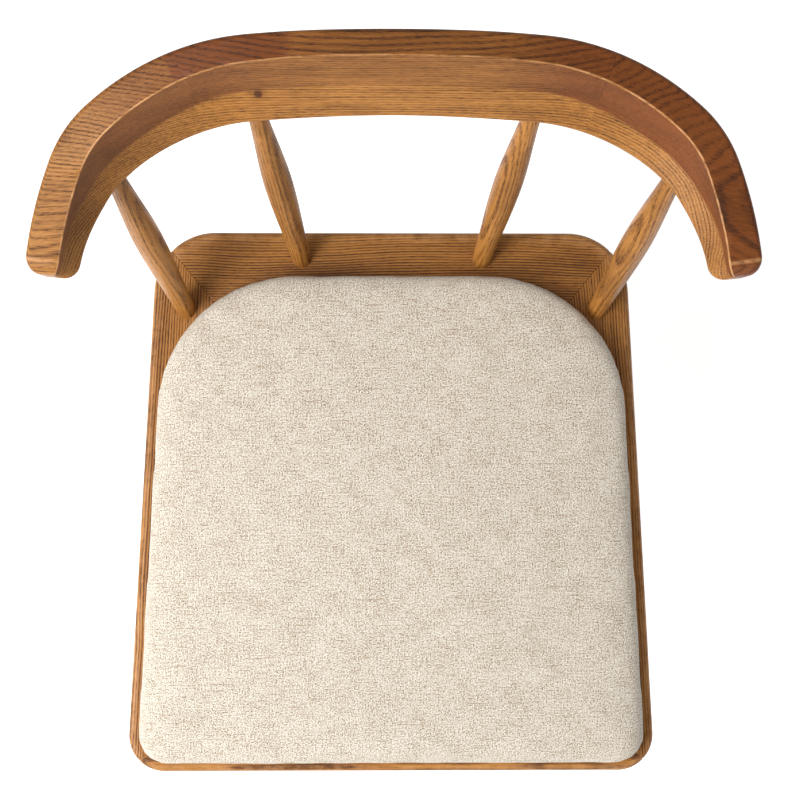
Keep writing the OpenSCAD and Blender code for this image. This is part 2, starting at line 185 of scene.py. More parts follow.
class Shader:
    """Builds one procedural material."""

    def __init__(self, name):
        self.material = bpy.data.materials.new(name)
        self.material.use_nodes = True
        self.tree = self.material.node_tree
        self.tree.nodes.clear()

    def add(self, kind, settings, inputs):
        node = self.tree.nodes.new("ShaderNode" + kind)
        for key, value in settings.items():
            setattr(node, key, value)
        for key, value in inputs.items():
            if isinstance(value, bpy.types.NodeSocket):
                self.tree.links.new(value, node.inputs[key])
            else:
                node.inputs[key].default_value = value
        return node

    def coords(self, source):
        """The piece's own grain or weave coordinates, or its place in the row frame."""
        if source == "Object":
            return self.add("TexCoord", {}, {}).outputs["Object"]
        return self.add("Attribute", {"attribute_name": source}, {}).outputs["Vector"]

    def value(self, name):
        return self.add("Attribute", {"attribute_name": name}, {}).outputs["Fac"]

    def math(self, operation, a, b=0.0):
        return self.add("Math", {"operation": operation}, {0: a, 1: b}).outputs[0]

    def weighed(self, total, part, weight, middle=0.0):
        """The total plus the part times its weight, the part counted from its middle."""
        if middle:
            part = self.math("SUBTRACT", part, middle)
        return self.math("ADD", total, self.math("MULTIPLY", part, weight))

    def clamped(self, value):
        """The value held between 0 and 1."""
        return self.add("Clamp", {}, {"Value": value}).outputs[0]

    def vector(self, operation, a, b=(0, 0, 0)):
        node = self.add("VectorMath", {"operation": operation}, {0: a, 1: b})
        return node.outputs["Value" if operation == "LENGTH" else "Vector"]

    def split(self, vector):
        return self.add("SeparateXYZ", {}, {0: vector}).outputs

    def join(self, x, y, z):
        return self.add("CombineXYZ", {}, {0: x, 1: y, 2: z}).outputs[0]

    def noise(self, vector, scales, detail=2.0, roughness=0.5):
        """Noise with a size of its own along each axis, given as cycles per metre."""
        at = self.vector("MULTIPLY", vector, scales)
        inputs = {"Vector": at, "Scale": 1.0, "Detail": detail, "Roughness": roughness}
        return self.add("TexNoise", {"noise_dimensions": "3D"}, inputs).outputs[0]

    def ramp(self, fac, stops):
        """A ramp through the stops, each a place with a colour or a grey."""
        node = self.add("ValToRGB", {}, {0: fac})
        ramp = node.color_ramp
        while len(ramp.elements) < len(stops):
            ramp.elements.new(0.5)
        for element, (place, colour) in zip(ramp.elements, stops):
            element.position = place
            if isinstance(colour, (int, float)):
                colour = (colour, colour, colour)
            element.color = (*colour, 1.0)
        return node.outputs["Color"]

    def mix(self, fac, a, b, blend="MIX"):
        a, b = [(*c, 1.0) if isinstance(c, tuple) else c for c in (a, b)]
        settings = {"data_type": "RGBA", "blend_type": blend, "clamp_factor": True}
        return self.add("Mix", settings, {0: fac, 6: a, 7: b}).outputs[2]

    def bump(self, height, distance, strength):
        inputs = {"Height": height, "Distance": distance, "Strength": strength}
        return self.add("Bump", {}, inputs).outputs[0]

    def finish(self, **inputs):
        """Ends in a Principled shader with these inputs, underscores standing for spaces."""
        sockets = {key.replace("_", " "): value for key, value in inputs.items()}
        shader = self.add("BsdfPrincipled", {}, sockets)
        self.add("OutputMaterial", {}, {"Surface": shader.outputs[0]})
        return self.material


LIGHT_WOOD = (0.470, 0.205, 0.046)
MID_WOOD = (0.275, 0.108, 0.019)
DARK_WOOD = (0.085, 0.025, 0.004)
RED_WOOD = (0.215, 0.042, 0.008)
# Lighter colour of rubbed edges: partly wear and partly a painted highlight on the rail's inner
# top edge
RUBBED_AND_HIGHLIT_WOOD = (0.70, 0.36, 0.15)
RING_WAVER = 0.8 * MM
# Darkness through one growth ring, and outwards from a knot's middle
RING_STOPS = [(0.0, 0.25), (0.16, 1.0), (0.40, 0.55), (0.62, 0.0), (1.0, 0.25)]
KNOT_STOPS = [(0.0, 1.0), (0.22, 0.85), (0.38, 0.25), (0.9, 0.0)]
KNOT_REACH = 10 * MM


def wood(name, pith, pitch, source="grain", light=LIGHT_WOOD, mid=MID_WOOD, dark=DARK_WOOD,
         toned=False, contrast=1.0, roughness=0.40, sway=0.014, knot=None):
    """Brown-stained ash, cut from a plank whose rings circle a pith beside it.

    The coordinates run along the grain, across it and up, pith is [across, up] and a knot is
    [along, up].
    """
    s = Shader(name)
    grain = s.coords(source)
    along, across, height_up = s.split(grain)
    across = s.math("SUBTRACT", across, pith[0])
    up = s.math("SUBTRACT", height_up, pith[1])
    radius = s.vector("LENGTH", s.join(0.0, across, up))
    radius = s.weighed(radius, s.noise(grain, (4.5, 12, 12), 2.0), sway, 0.5)
    radius = s.weighed(radius, s.noise(grain, (14, 130, 130), 1.0), RING_WAVER, 0.5)
    turns = s.math("DIVIDE", radius, pitch)
    phase = s.math("FRACT", turns)
    ring = s.math("FLOOR", turns)
    band = s.ramp(phase, RING_STOPS)
    own = s.add("TexWhiteNoise", {"noise_dimensions": "1D"}, {"W": ring}).outputs["Value"]
    band = s.math("MULTIPLY", band, s.weighed(0.4, own, 0.6))
    pores = s.ramp(s.noise(grain, (150, 2100, 2100), 1.0), [(0.50, 0.0), (0.62, 1.0)])
    pores = s.math("MULTIPLY", pores, s.weighed(0.2, band, 0.85))
    fibres = s.noise(grain, (22, 900, 900), 3.0, 0.6)
    blotch = s.noise(grain, (9, 30, 30), 3.0, 0.55)
    shade = s.math("MULTIPLY", band, 1.05 * contrast)
    shade = s.weighed(shade, fibres, 1.2, 0.5)
    shade = s.weighed(shade, blotch, 1.1, 0.44)
    shade = s.weighed(shade, pores, 0.85)
    if knot:
        knot_along = s.math("SUBTRACT", along, knot[0])
        knot_up = s.math("SUBTRACT", height_up, knot[1])
        away = s.vector("LENGTH", s.join(knot_along, 0.0, knot_up))
        shade = s.math("ADD", shade, s.ramp(s.math("DIVIDE", away, KNOT_REACH), KNOT_STOPS))
    shade = s.clamped(shade)
    colour = s.ramp(shade, [(0.0, light), (0.45, mid), (1.0, dark)])
    # The tone map deepens the colour; where it is low on the right arm's top it is partly a
    # painted highlight
    if toned:
        deep = s.mix(0.62, colour, RED_WOOD, "MULTIPLY")
        deep = s.mix(0.45, deep, s.mix(shade, RED_WOOD, DARK_WOOD))
        colour = s.mix(s.math("MULTIPLY", s.value("tone"), 0.8), colour, deep)
    # Edges made lighter by a mask that is partly wear and partly painted highlight
    if source == "grain":
        rub = s.ramp(s.noise(grain, (90, 90, 90), 3.0, 0.6), [(0.38, 0.15), (0.62, 1.0)])
        colour = s.mix(s.math("MULTIPLY", s.value("wear_and_highlight"), rub), colour, RUBBED_AND_HIGHLIT_WOOD)
    height = s.math("SUBTRACT", s.math("MULTIPLY", fibres, 0.25), pores)
    height = s.weighed(height, band, -0.35)
    rough = s.weighed(roughness - 0.05, shade, 0.16)
    return s.finish(Base_Color=colour, Roughness=rough, IOR=1.40,
                    Normal=s.bump(height, 0.22 * MM, 0.7))


YARN_PITCH = 1.25 * MM
YARN_STOPS = [(0.0, (0.92, 0.88, 0.80)), (0.42, (0.73, 0.66, 0.55)),
              (0.75, (0.49, 0.40, 0.29)), (1.0, (0.26, 0.17, 0.10))]
SLUB_COLOUR = (0.36, 0.23, 0.13)
PLY = 2.6 * MM
DIMPLE_PITCH = 2.2 * MM


def linen():
    """Plain-woven linen in cream and brown yarns of uneven thickness."""
    s = Shader("linen_weave")
    weave = s.coords("weave")
    u, v, _ = s.split(weave)
    jitter = s.noise(weave, (60, 60, 60), 2.0)
    across = s.math("DIVIDE", s.weighed(u, jitter, 1.6 * MM, 0.5), YARN_PITCH)
    down = s.math("DIVIDE", s.weighed(v, jitter, -1.4 * MM, 0.5), YARN_PITCH)
    checker = s.math("MODULO", s.math("ADD", s.math("FLOOR", across), s.math("FLOOR", down)), 2.0)
    checker = s.math("ABSOLUTE", checker)
    wave_u = s.math("ABSOLUTE", s.math("SINE", s.math("MULTIPLY", across, math.pi)))
    wave_v = s.math("ABSOLUTE", s.math("SINE", s.math("MULTIPLY", down, math.pi)))
    warp = s.math("MULTIPLY", wave_u, s.weighed(0.55, wave_v, 0.45))
    weft = s.math("MULTIPLY", wave_v, s.weighed(0.55, wave_u, 0.45))
    thread = s.mix(checker, warp, weft)

    weft_yarn = s.noise(weave, (80, 900, 0), 3.0, 0.65)
    warp_yarn = s.noise(weave, (860, 90, 3), 3.0, 0.65)
    yarn = s.mix(checker, warp_yarn, weft_yarn)
    speck = s.noise(weave, (820, 820, 0), 2.0, 0.75)
    mottle = s.noise(weave, (38, 46, 0), 3.0, 0.6)
    slub_weft = s.ramp(s.noise(weave, (30, 620, 5), 2.0), [(0.63, 0.0), (0.72, 1.0)])
    slub_warp = s.ramp(s.noise(weave, (620, 38, 9), 2.0), [(0.65, 0.0), (0.74, 1.0)])
    slubs = s.math("MAXIMUM", slub_weft, s.math("MULTIPLY", slub_warp, 0.8))
    shade = s.weighed(0.40, yarn, 2.0, 0.5)
    shade = s.weighed(shade, speck, 4.8, 0.5)
    shade = s.weighed(shade, mottle, 0.45, 0.5)
    # Darker between the thread crests: painted shade of the weave's gaps
    shade = s.weighed(shade, thread, -0.25, 0.5)
    colour = s.ramp(shade, YARN_STOPS)
    colour = s.mix(s.math("MULTIPLY", slubs, 0.6), colour, SLUB_COLOUR)
    height = s.weighed(s.math("MULTIPLY", thread, 0.7), yarn, 0.5)
    height = s.weighed(height, slubs, 0.35)
    return s.finish(Base_Color=colour, Roughness=0.92, IOR=1.4, Sheen_Weight=0.12,
                    Sheen_Roughness=0.5, Normal=s.bump(height, 0.4 * MM, 0.8))


def plywood():
    s = Shader("birch_plywood")
    place = s.coords("Object")
    _, _, z = s.split(place)
    ply = s.math("FRACT", s.math("DIVIDE", z, PLY))
    layer = s.ramp(ply, [(0.0, 0.1), (0.08, 1.0), (0.16, 0.3), (1.0, 0.2)])
    grain = s.noise(place, (20, 600, 60), 4.0, 0.6)
    shade = s.weighed(s.math("MULTIPLY", layer, 0.35), grain, 0.6)
    colour = s.ramp(shade, [(0.2, (0.62, 0.45, 0.27)), (0.8, (0.36, 0.22, 0.11))])
    return s.finish(Base_Color=colour, Roughness=0.62, Normal=s.bump(grain, 0.2 * MM, 0.5))


def steel():
    s = Shader("zinc_plated_steel")
    place = s.coords("Object")
    marks = s.noise(place, (900, 900, 300), 4.0, 0.6)
    cloud = s.noise(place, (130, 130, 130), 2.0)
    colour = s.ramp(cloud, [(0.3, (0.52, 0.53, 0.54)), (0.7, (0.70, 0.69, 0.64))])
    rough = s.weighed(0.22, marks, 0.25)
    return s.finish(Base_Color=colour, Metallic=1.0, Roughness=rough,
                    Normal=s.bump(marks, 0.05 * MM, 0.5))


def felt():
    s = Shader("grey_felt")
    place = s.coords("Object")
    fuzz = s.noise(place, (1400, 1400, 1400), 4.0, 0.7)
    cloud = s.noise(place, (160, 160, 160), 2.0)
    shade = s.weighed(s.math("MULTIPLY", fuzz, 0.7), cloud, 0.3)
    colour = s.ramp(shade, [(0.3, (0.035, 0.033, 0.03)), (0.7, (0.13, 0.125, 0.115))])
    return s.finish(Base_Color=colour, Roughness=0.95, Sheen_Weight=0.3,
                    Normal=s.bump(fuzz, 0.4 * MM, 0.8))


def dust_cloth():
    s = Shader("black_nonwoven")
    place = s.coords("Object")
    fibres = s.noise(place, (500, 900, 500), 5.0, 0.75)
    u, v, _ = s.split(place)
    turns = 2 * math.pi / DIMPLE_PITCH
    dimple_u, dimple_v = [s.math("SINE", s.math("MULTIPLY", way, turns)) for way in (u, v)]
    dimple = s.math("MULTIPLY", dimple_u, dimple_v)
    colour = s.ramp(fibres, [(0.35, (0.012, 0.012, 0.013)), (0.7, (0.045, 0.045, 0.047))])
    height = s.weighed(fibres, dimple, 0.4)
    return s.finish(Base_Color=colour, Roughness=0.85, Normal=s.bump(height, 0.3 * MM, 0.7))


# ---- Seat rails ----

OUTER = frame_corners(0, 0, 0)
INNER = frame_corners(RAIL_W, RAIL_W, BACK_RAIL_W)
REBATE = rounded(frame_corners(PAD_SIDE + REBATE_INSET, PAD_FRONT + REBATE_INSET,
                               PAD_BACK + REBATE_INSET), [r - REBATE_INSET for r in PAD_R], 40)
EDGE_R = 5.5 * MM
FOOT_R = 2.5 * MM
SOFT_R = 0.8 * MM
MITRE_GAP = 0.06 * MM
MITRE_V = 0.45 * MM
# Least width of the shelf in the rebate, and of its flat part
SHELF_LEAST = 1.2 * MM
FLAT_LEAST = 0.3 * MM
# Share of a plank's offset that moves its grain sideways
SIDEWAYS = 0.3


def crossing(a, b, c, d):
    """How far along a-b it meets c-d, or None."""
    r, s = b - a, d - c
    below = r.cross(s)
    if abs(below) < 1e-12:
        return None
    t, u = (c - a).cross(s) / below, (c - a).cross(r) / below
    return t if -1e-9 <= t <= 1 + 1e-9 and -1e-9 <= u <= 1 + 1e-9 else None


def rail_outer_path(a, b, shift):
    """The rounded outer edge between two mitres, from corner a to corner b."""
    n = len(OUTER)
    arc_a = fillet(OUTER[a - 1], OUTER[a], OUTER[(a + 1) % n], FRAME_R[a], 28)
    arc_b = fillet(OUTER[b - 1], OUTER[b], OUTER[(b + 1) % n], FRAME_R[b], 28)
    straight = [arc_a[-1].lerp(arc_b[0], k / 56) for k in range(1, 56)]
    path = arc_a + straight + arc_b
    run = (OUTER[b] - OUTER[a]).normalized() * shift
    cuts = []
    for corner, move in ((a, run), (b, -run)):
        reach = (INNER[corner] - OUTER[corner]) * 0.5
        start, end = OUTER[corner] - reach * 0.2 + move, OUTER[corner] + reach + move
        for k in range(len(path) - 1):
            t = crossing(path[k], path[k + 1], start, end)
            if t is not None:
                cuts.append((k, path[k].lerp(path[k + 1], t)))
                break
    (first, start), (last, end) = cuts
    return [start] + path[first + 1:last + 1] + [end]


def seat_section(outer, inner, normal):
    """The rail's section between an outer and an inner point, as (place, height, wear and painted
    highlight).
    """
    reach = inner - outer
    length = reach.length
    way = reach / length
    stretch = 1 / max(0.3, way.dot(normal))
    cut = [crossing(outer, inner, REBATE[k], REBATE[(k + 1) % len(REBATE)])
           for k in range(len(REBATE))]
    cut = [t for t in cut if t is not None]
    ledge = min(min(cut) if cut else 1.0, 1 - SHELF_LEAST / length) * length
    points = []

    def arc(inset, height, radius, start, end, steps, wear_and_highlight):
        for i in range(steps + 1):
            angle = math.radians(start + (end - start) * i / steps)
            points.append((inset + radius * math.cos(angle) * stretch,
                           height + radius * math.sin(angle), wear_and_highlight))

    edge = min(EDGE_R, ledge / stretch * 0.45)
    arc(FOOT_R * stretch, SEAT_BOTTOM + FOOT_R, FOOT_R, 270, 180, 4, 0.3)
    arc(edge * stretch, SEAT_TOP - edge, edge, 180, 90, 8, 0.35)
    for k in range(1, 6):
        span = ledge - SOFT_R * stretch - edge * stretch
        points.append((edge * stretch + span * k / 6, SEAT_TOP, 0.0))
    arc(ledge - SOFT_R * stretch, SEAT_TOP - SOFT_R, SOFT_R, 90, 0, 2, 0.3)
    points.append((ledge, SHELF_Z, 0.0))
    points.append((max(ledge + FLAT_LEAST, length - SOFT_R), SHELF_Z, 0.0))
    points.append((length, SHELF_Z - SOFT_R, 0.2))
    points.append((length, (SHELF_Z + SEAT_BOTTOM) / 2, 0.0))
    points.append((length, SEAT_BOTTOM + SOFT_R, 0.2))
    points.append((length - SOFT_R, SEAT_BOTTOM, 0.2))
    points.append((length / 2, SEAT_BOTTOM, 0.0))
    return [(outer + way * inset, height, wear_and_highlight) for inset, height, wear_and_highlight in points]


def seat_rail(name, a, b, offset):
    """One rail from corner a to corner b, mitred, with its grain along it."""
    path = rail_outer_path(a, b, MITRE_GAP)
    lengths = [0.0]
    for p, q in zip(path, path[1:]):
        lengths.append(lengths[-1] + (q - p).length)
    run = (OUTER[b] - OUTER[a]).normalized()
    across = Vector((-run.y, run.x))
    inner_a, inner_b = INNER[a] + run * MITRE_GAP, INNER[b] - run * MITRE_GAP
    rings = []
    for k, outer in enumerate(path):
        before, after = path[max(0, k - 1)], path[min(len(path) - 1, k + 1)]
        tangent = (after - before).normalized()
        normal = Vector((-tangent.y, tangent.x))
        inner = inner_a.lerp(inner_b, lengths[k] / lengths[-1])
        rings.append(seat_section(outer, inner, normal))
    ends = []
    for ring, way in ((rings[0], run), (rings[-1], -run)):
        middle = sum((p for p, _, _ in ring), Vector((0, 0))) / len(ring)
        level = (SEAT_TOP + SEAT_BOTTOM) / 2
        small = []
        for p, z, w in ring:
            inward = Vector((*(middle - p), level - z)).normalized() * MITRE_V
            small.append((p + inward.xy, z + inward.z, w))
        ends.append(small)
        ring[:] = [(p + way * MITRE_V, z, w) for p, z, w in ring]
    rings = [ends[0]] + rings + [ends[1]]
    verts, grain, wear_and_highlight = [], [], []
    for ring in rings:
        for p, z, w in ring:
            verts.append(Vector((p.x, p.y, z)))
            local = p - OUTER[a]
            grain.append((local.dot(run) + offset, local.dot(across) + offset * SIDEWAYS, z))
            wear_and_highlight.append(w)
    return lofted(name, verts, len(rings[0]), {"grain": grain, "wear_and_highlight": wear_and_highlight}, sharp=40)


# ---- Turned legs and spindles ----

# Shares of a turned piece's offset that move its grain across and up
TURNED_ACROSS, TURNED_UP = 0.7, -0.4


def turned(name, start, end, radius_at, low_z, high_z, offset, rows=72, segments=40):
    """A turned piece between two points of its axis, cut level at both ends."""
    axis = (end - start).normalized()
    side = axis.cross(Vector((0, 0, 1))).normalized()
    front = side.cross(axis)
    length = (end - start).length
    verts, grain = [], []
    for k in range(rows + 1):
        t = k / rows
        radius = radius_at(t)
        for i in range(segments):
            turn = 2 * math.pi * i / segments
            a, b = radius * math.cos(turn), radius * math.sin(turn)
            p = start + axis * (t * length) + side * a + front * b
            if k == 0:
                p += axis * ((low_z - p.z) / axis.z)
            if k == rows:
                p += axis * ((high_z - p.z) / axis.z)
            verts.append(p)
            grain.append((t * length + offset, a + offset * TURNED_ACROSS,
                          b + offset * TURNED_UP))
    attributes = {"grain": grain, "wear_and_highlight": [0.0] * len(verts)}
    return lofted(name, verts, segments, attributes, sharp=50)


# The axis of a leg on the sitter's left, under the seat and at the floor
LEG_SPOTS = {"front": [Vector((207 * MM, FRONT_Y + 76 * MM)),
                       Vector((232 * MM, FRONT_Y + 40 * MM))],
             "rear": [Vector((187 * MM, BACK_Y - 115 * MM)),
                      Vector((213 * MM, BACK_Y - 20 * MM))]}
LEG_FOOT, LEG_BELLY, LEG_TOP, LEG_BELLY_AT = 10.5 * MM, 18.5 * MM, 15.5 * MM, 0.72
FOOT_ROUNDING, FOOT_ROUNDING_END = 1.2 * MM, 0.012
# Where a spindle on the sitter's left stands on the seat, and how much it splays
SPINDLE_SPOTS = {"inner": (84 * MM, BACK_Y - 24 * MM, 0.102),
                 "outer": (191 * MM, BACK_Y - 72 * MM, 0.122)}
SPINDLE_LEAN = 0.347
SPINDLE_FOOT, SPINDLE_BELLY, SPINDLE_NECK, SPINDLE_BELLY_AT = 9 * MM, 12.25 * MM, 7.5 * MM, 0.52


def leg_radius(t):
    if t < LEG_BELLY_AT:
        radius = LEG_FOOT + (LEG_BELLY - LEG_FOOT) * math.sin(math.pi / 2 * t / LEG_BELLY_AT)
    else:
        past = (t - LEG_BELLY_AT) / (1 - LEG_BELLY_AT)
        radius = LEG_BELLY + (LEG_TOP - LEG_BELLY) * smooth(past)
    return radius - FOOT_ROUNDING * (1 - smooth(t / FOOT_ROUNDING_END))


def leg(name, side, spots, offset):
    top, foot = spots
    low, high = GLIDE_TOP, SEAT_BOTTOM

    def on_axis(z):
        p = foot + (top - foot) * z / SEAT_BOTTOM
        return Vector((side * p.x, p.y, z))

    return turned(name, on_axis(low), on_axis(high), leg_radius, low, high, offset, rows=90)


def spindle_radius(t):
    if t < SPINDLE_BELLY_AT:
        return SPINDLE_FOOT + (SPINDLE_BELLY - SPINDLE_FOOT) * smooth(t / SPINDLE_BELLY_AT)
    past = (t - SPINDLE_BELLY_AT) / (1 - SPINDLE_BELLY_AT)
    return SPINDLE_BELLY + (SPINDLE_NECK - SPINDLE_BELLY) * smooth(past)


def spindle(name, side, spot, offset):
    x, y, splay = spot

    def on_axis(z):
        rise = z - SEAT_TOP
        return Vector((side * (x + splay * rise), y + SPINDLE_LEAN * rise, z))

    return turned(name, on_axis(SEAT_TOP), on_axis(RAIL_BOTTOM), spindle_radius,
                  SEAT_TOP, RAIL_BOTTOM, offset, rows=34)


# ---- Top rail ----

RAIL_ARCS = [(1800 * MM, 3.5), (210 * MM, 36), (99 * MM, 29), (315 * MM, 22)]
RAIL_MIDDLE = Vector((0, RAIL_BACK + 1.3 * MM))
RAIL_JOINT = 165 * MM
RAIL_END = 378 * MM
JOINT_GAP = 0.02 * MM
# The bevel at a joint, along the rail and inwards
JOINT_V, JOINT_V_IN = 0.08 * MM, 0.1 * MM
END_R, END_SHRINK, END_ANGLE = 14 * MM, 0.6, 84


def edge_at(s):
    """Point and heading on the rail's outer edge, at a distance from the middle."""
    start, heading = RAIL_MIDDLE.copy(), 0.0
    for k, (radius, degrees) in enumerate(RAIL_ARCS):
        span = math.radians(degrees)
        turn = s / radius
        done = turn <= span or k == len(RAIL_ARCS) - 1
        if not done:
            turn = span
        start = start + radius * Vector((math.sin(heading + turn) - math.sin(heading),
                                         math.cos(heading + turn) - math.cos(heading)))
        heading += turn
        if done:
            return start, heading
        s -= radius * span


def eased(s, start, span):
    """0 up to a start along the rail and 1 from a span past it, with start and span in mm."""
    return smooth((s / MM - start) / span)


def section_corners(s):
    """Outer foot, outer top, inner top, crease and inner foot, as (inset, height)."""
    top = RAIL_TOP - 46 * MM * eased(s, 50, 370)
    crease = RAIL_BOTTOM + (35 - 17 * eased(s, 0, 240)) * MM
    return [Vector(((20 - 11 * eased(s, 200, 160)) * MM, RAIL_BOTTOM)),
            Vector((0, top)),
            Vector(((21.5 + 6 * eased(s, 40, 230)) * MM, top)),
            Vector(((33 + 4.6 * eased(s, 120, 110) - 10.8 * eased(s, 255, 100)) * MM, crease)),
            Vector(((51 + 4.5 * eased(s, 0, 200) - 15 * eased(s, 245, 130)) * MM, RAIL_BOTTOM))]


SECTION_R = [3 * MM, 4 * MM, 0.9 * MM, 5 * MM, 3 * MM]
ARC_STEPS = 6
SIDE_STOPS = [0.02, 0.25, 0.5, 0.75, 0.98]
# Tone and wear at each rounded corner, in the order of the section's corners; on the inner top
# edge the wear is partly a painted highlight
CORNER_TONE = [0.5, 1.0, 0.35, 0.0, 0.0]
CORNER_WEAR_AND_HIGHLIGHT = [0.1, 0.0, 0.95, 0.0, 0.1]
END_WEAR_AND_HIGHLIGHT = 0.6


# Stations of the rail's end where its top edge is lighter, partly worn and partly a painted
# highlight, as scales of the section
END_WORN_AND_HIGHLIT = 0.955, 0.995
# Push of the uneven inner edge, per unit of noise
JOG = Vector((0.35, 0.2)) * MM


def top_tone(s):
    """Depth of tone on the top edge, with s below 0 on the sitter's right.

    It is deep in a patch right of the middle and deep on the left arm. It is pale on the right
    arm, partly a lighter finish and partly a painted highlight for the lamps' gloss.
    """
    patch = eased(-s, 70, 20) * (1 - eased(-s, 170, 6))
    # Paler right arm: partly a lighter finish, partly a painted highlight
    pale_and_highlight = eased(-s, 200, 80)
    return 0.72 + 0.55 * patch + 0.5 * eased(s, 60, 80) - 0.7 * pale_and_highlight


def rail_ring(s, scale=1.0):
    """The section's points in the row frame at a station, with tone, and with wear that is partly
    a painted highlight.
    """
    edge, heading = edge_at(abs(s))
    inward = Vector((-math.sin(heading), -math.cos(heading)))
    corners = section_corners(abs(s))
    middle = (corners[0] + corners[1] + corners[2] + corners[4]) / 4
    outline = rounded(corners, SECTION_R, ARC_STEPS, SIDE_STOPS)
    per_corner = ARC_STEPS + 1 + len(SIDE_STOPS)
    # The inner top edge is lighter towards the arms, partly as wear and partly as a painted
    # highlight
    arris_wear_and_highlight = 0.45 + 0.55 * eased(abs(s), 110, 90)
    # The upper inner face is darker towards the arms, more on the left arm
    inner_tone = 0.42 + (0.8 if s > 0 else 0.5) * eased(abs(s), 60, 90)
    ring = []
    for i, p in enumerate(outline):
        corner, step = divmod(i, per_corner)
        k = SIDE_STOPS[step - ARC_STEPS - 1] if step > ARC_STEPS else 0.0
        after = (corner + 1) % len(corners)
        tone = CORNER_TONE[corner] * (1 - k) + CORNER_TONE[after] * k
        if corner == 1:
            tone = top_tone(s)
        if corner == 2 and step > ARC_STEPS:
            tone = inner_tone
        if corner == 3:
            tone = inner_tone * max(0.0, 1 - step / ARC_STEPS)
        wear_and_highlight = CORNER_WEAR_AND_HIGHLIGHT[corner] if step <= ARC_STEPS else 0.0
        if corner == 2:
            wear_and_highlight *= arris_wear_and_highlight
        # The end's top edge is lighter, partly wear and partly a painted highlight
        if corner == 1 and END_WORN_AND_HIGHLIT[0] < scale < END_WORN_AND_HIGHLIT[1]:
            wear_and_highlight = END_WEAR_AND_HIGHLIGHT
        q = middle + (p - middle) * scale
        if corner == 2 and step <= ARC_STEPS:
            slow = noise.noise(Vector((s * 55, 3.1, 0.7)))
            fast = noise.noise(Vector((s * 160, 9, 2)))
            q = q + JOG * (slow + 0.5 * fast) * scale
        place = edge + inward * q.x
        ring.append((Vector((-place.x if s < 0 else place.x, place.y, q.y)), tone, wear_and_highlight))
    return ring


def shrunk(ring, amount):
    """The ring with its points moved that far towards its middle."""
    middle = sum((p for p, _, _ in ring), Vector()) / len(ring)
    return [(p + (middle - p).normalized() * amount, t, w) for p, t, w in ring]


def rail_length(name, stations, grain_of, bevelled):
    """One length of the top rail through the stations, each (distance, scale)."""
    rings = [rail_ring(s, scale) for s, scale in stations]
    if bevelled:
        rings.insert(0, shrunk(rail_ring(stations[0][0] - JOINT_V), JOINT_V_IN))
        rings.append(shrunk(rail_ring(stations[-1][0] + JOINT_V), JOINT_V_IN))
    verts = [p for ring in rings for p, _, _ in ring]
    attributes = {"grain": [grain_of(p) for p in verts],
                  "tone": [t for ring in rings for _, t, _ in ring],
                  "wear_and_highlight": [w for ring in rings for _, _, w in ring]}
    return lofted(name, verts, len(rings[0]), attributes, sharp=35)


def arm_stations(side):
    """Stations from the joint to the rounded end, which shrinks as it closes."""
    start, straight = RAIL_JOINT + JOINT_GAP, RAIL_END - END_R
    stations = [(start + (straight - start) * i / 60, 1.0) for i in range(61)]
    for i in range(1, 15):
        a = math.radians(END_ANGLE) * i / 14
        stations.append((straight + END_R * math.sin(a), 1 - END_SHRINK * (1 - math.cos(a))))
    return [(side * s, scale) for s, scale in stations]


def plank_grain(angle, tilt, origin):
    """Grain coordinates of a straight plank, turned in plan and tilted, from a point."""
    turn = (Matrix.Rotation(math.radians(tilt), 3, "X")
            @ Matrix.Rotation(math.radians(angle), 3, "Z"))
    return lambda p: tuple(turn @ (p - origin))


# ---- Cushion ----

# How far the closed form stays inside the cushion, which the cloth then fills
SHY = 1.2 * MM
EDGE_STEPS, CROWN_STEPS = 9, 14
VOXEL = 5 * MM
HELD_BELOW = SEAT_TOP + 2 * MM
CLOTH_CAP = 1.3 * MM
CLOTH_FRAMES = 20
# Height above the seat where the cushion's unevenness has fully set in
UNEVEN_RISE = 14 * MM


def pad_rings():
    """Rings of the pad's closed form, a little small, from under the board to the crown."""
    under = math.radians(45)
    profile = [(30 * MM, COVER_BOTTOM), (BOARD_INSET + 2 * MM, COVER_BOTTOM + 0.2 * MM),
               (BOARD_INSET + 0.4 * MM, COVER_BOTTOM + 2 * MM), (BOARD_INSET, SEAT_TOP + 0.5 * MM)]
    for i in range(EDGE_STEPS + 1):
        a = -under + (math.pi / 2 + under) * i / EDGE_STEPS
        profile.append((PAD_EDGE_R - (PAD_EDGE_R - SHY) * math.cos(a),
                        PAD_EDGE_Z + (PAD_EDGE_RISE - SHY) * math.sin(a)))
    rings = [[Vector((p.x, p.y, z)) for p in pad_ring(inset)] for inset, z in profile]
    rim = pad_ring(PAD_EDGE_R)
    centre = Vector((0, FRONT_Y + (BACK_Y - FRONT_Y) * CROWN_MIDDLE))
    top = PAD_EDGE_Z + PAD_EDGE_RISE - SHY
    for i in range(1, CROWN_STEPS + 1):
        k = 1 - 0.99 * i / CROWN_STEPS
        rings.append([Vector((*(centre + (p - centre) * k), top + PAD_CROWN * (1 - k * k)))
                      for p in rim])
    return rings


def apply_modifiers(obj):
    """Puts the object's modifiers into its mesh."""
    bpy.context.view_layer.update()
    depsgraph = bpy.context.evaluated_depsgraph_get()
    mesh = bpy.data.meshes.new_from_object(obj.evaluated_get(depsgraph))
    obj.modifiers.clear()
    old, obj.data = obj.data, mesh
    bpy.data.meshes.remove(old)


